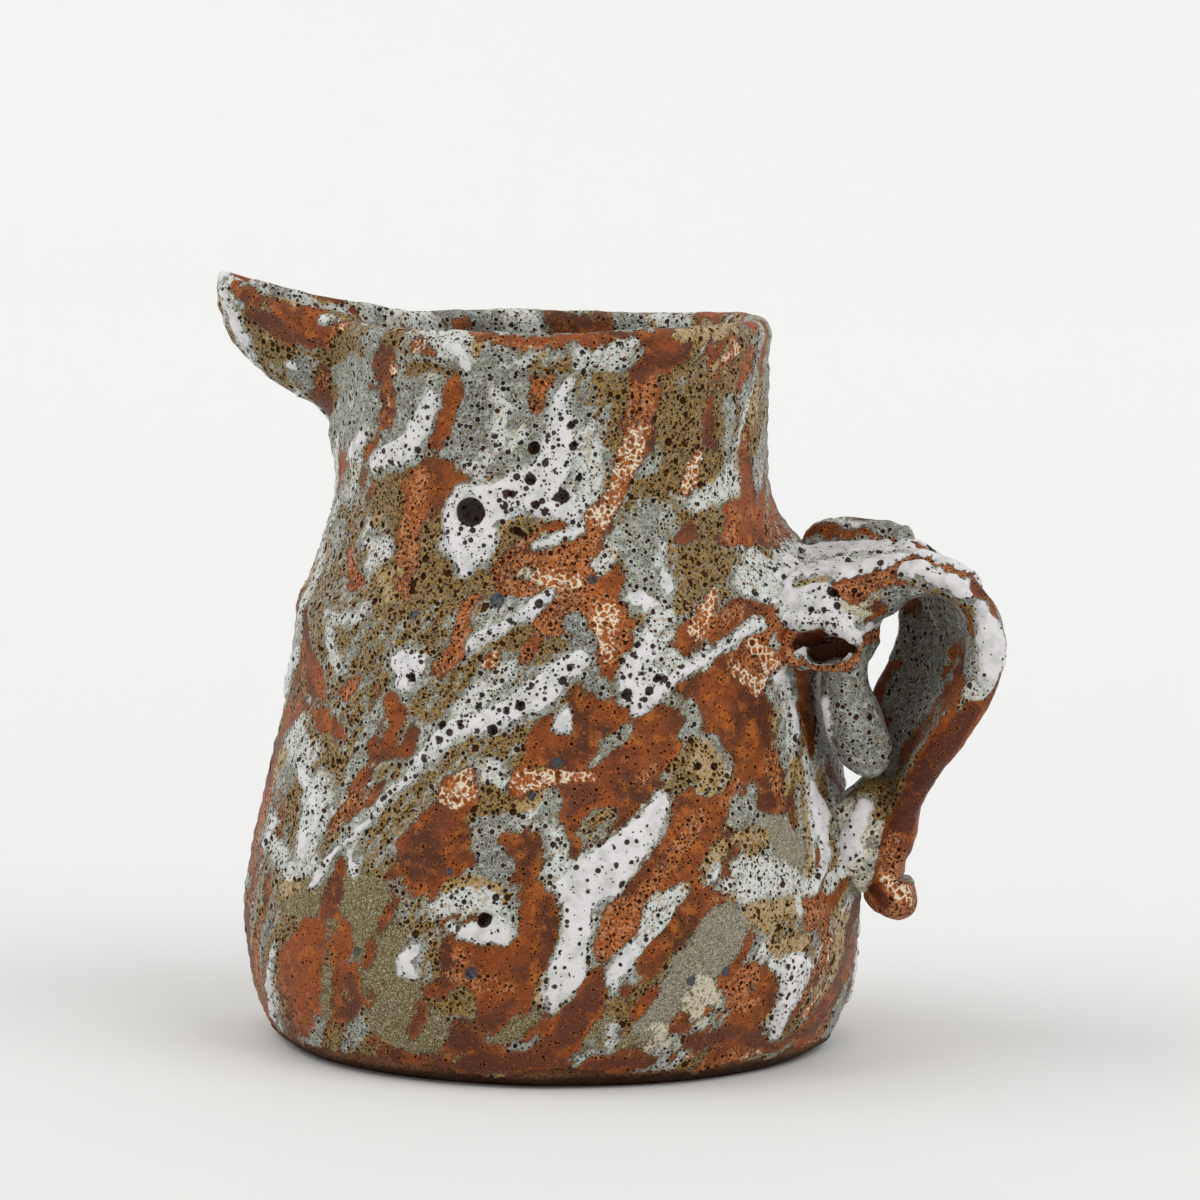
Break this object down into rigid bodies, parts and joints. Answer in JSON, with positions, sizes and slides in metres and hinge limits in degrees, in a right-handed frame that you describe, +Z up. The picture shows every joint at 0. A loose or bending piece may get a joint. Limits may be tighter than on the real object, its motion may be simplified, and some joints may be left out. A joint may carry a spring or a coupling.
{
  "type": "stoneware jug",
  "caption": "Hand-thrown stoneware jug with a beaked pouring spout, a looped strap handle with scrolled ends and a cratered run glaze over rust-red slip.",
  "frame": {"origin": "centre of the flat foot, on the axis that the body was thrown about, at the height of the table", "axes": "+Z up along the thrown axis; +X from the axis to the handle, so the spout points along -X; +Y completes the right-handed frame, and the handle's open scroll faces -Y"},
  "size_m": [0.1427, 0.1084, 0.134],
  "materials": {
    "glazed_body": "satin cratered glaze in white, grey-green and rust over brown stoneware",
    "glazed_spout": "satin cratered glaze, rust at the lip",
    "glazed_handle": "satin rust slip with white glaze along the edges",
    "glazed_curl": "matt grey-green glaze",
    "glazed_wad": "cream cratered glaze"
  },
  "bodies": {
    "root": {"thrown_body": "glazed_body", "spout": "glazed_spout", "strap_handle": "glazed_handle", "root_scroll": "glazed_handle", "tail_curl": "glazed_curl", "thumb_coil": "glazed_curl", "crest_pellet": "glazed_handle", "lower_wad": "glazed_wad", "terminal_knob": "glazed_handle"}
  },
  "joints": []
}
